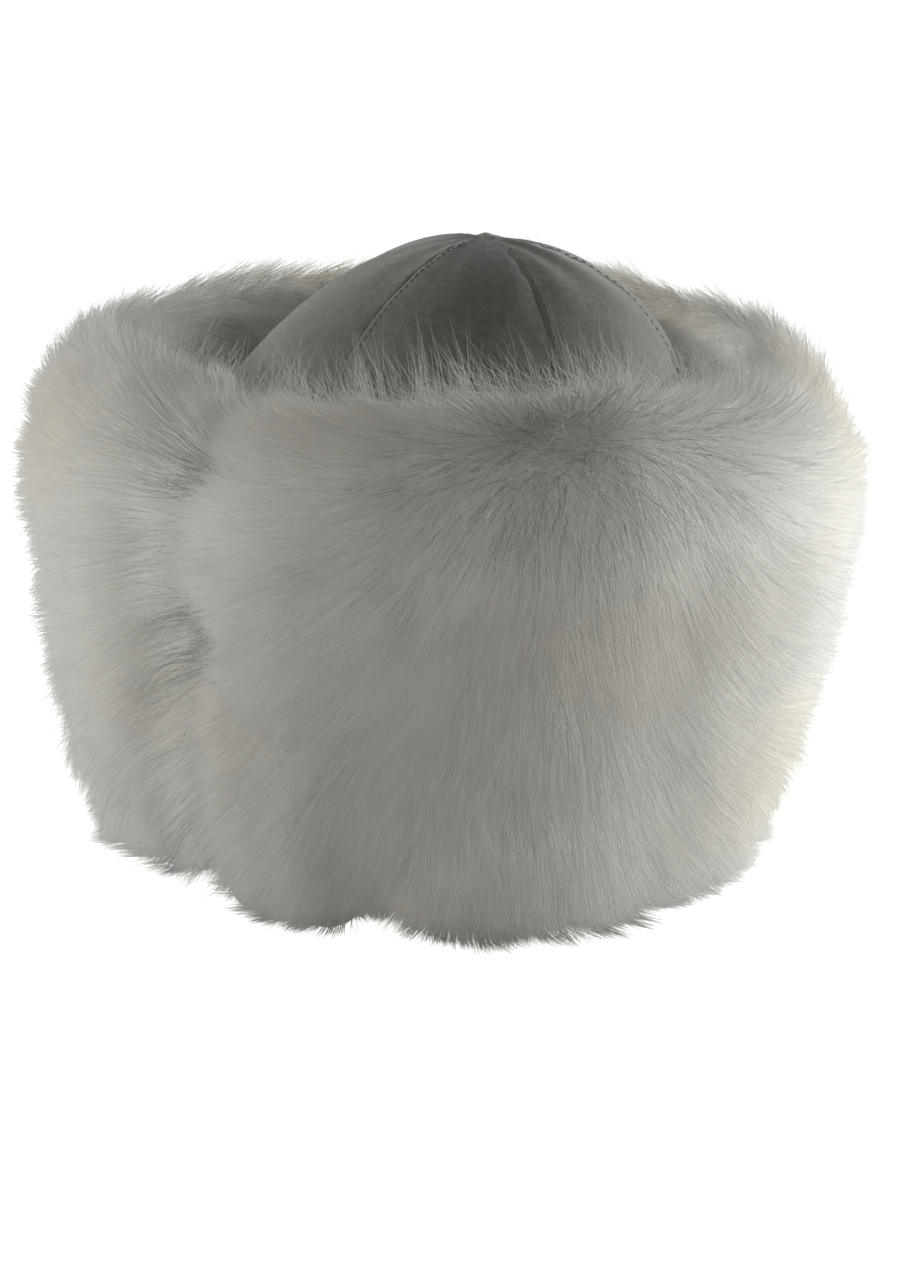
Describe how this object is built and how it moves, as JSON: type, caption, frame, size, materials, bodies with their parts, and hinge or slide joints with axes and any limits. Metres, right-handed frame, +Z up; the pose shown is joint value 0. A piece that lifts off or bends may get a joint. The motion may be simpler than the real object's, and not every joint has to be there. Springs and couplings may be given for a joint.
{
  "type": "white fur hat with gored cloth crown",
  "caption": "Deep white fur band, flared to the top, round a domed cloth crown of sewn gores, with a lapped front panel.",
  "frame": {"origin": "centre of the hat's box, on the surface that its hem rests on", "axes": "+Z up through the crown, -Y towards the front of the hat, +X to the viewer's right as it is looked at from the front"},
  "size_m": [0.2967, 0.3159, 0.2135],
  "materials": {
    "crown_cloth": "grey brushed wool cloth",
    "white_fur": "off-white deep-pile fur"
  },
  "bodies": {
    "root": {"crown_gore_1": "crown_cloth", "crown_gore_2": "crown_cloth", "crown_gore_3": "crown_cloth", "crown_gore_4": "crown_cloth", "crown_gore_5": "crown_cloth", "crown_gore_6": "crown_cloth", "front_fur_panel": "white_fur", "side_fur_band": "white_fur"}
  },
  "joints": []
}
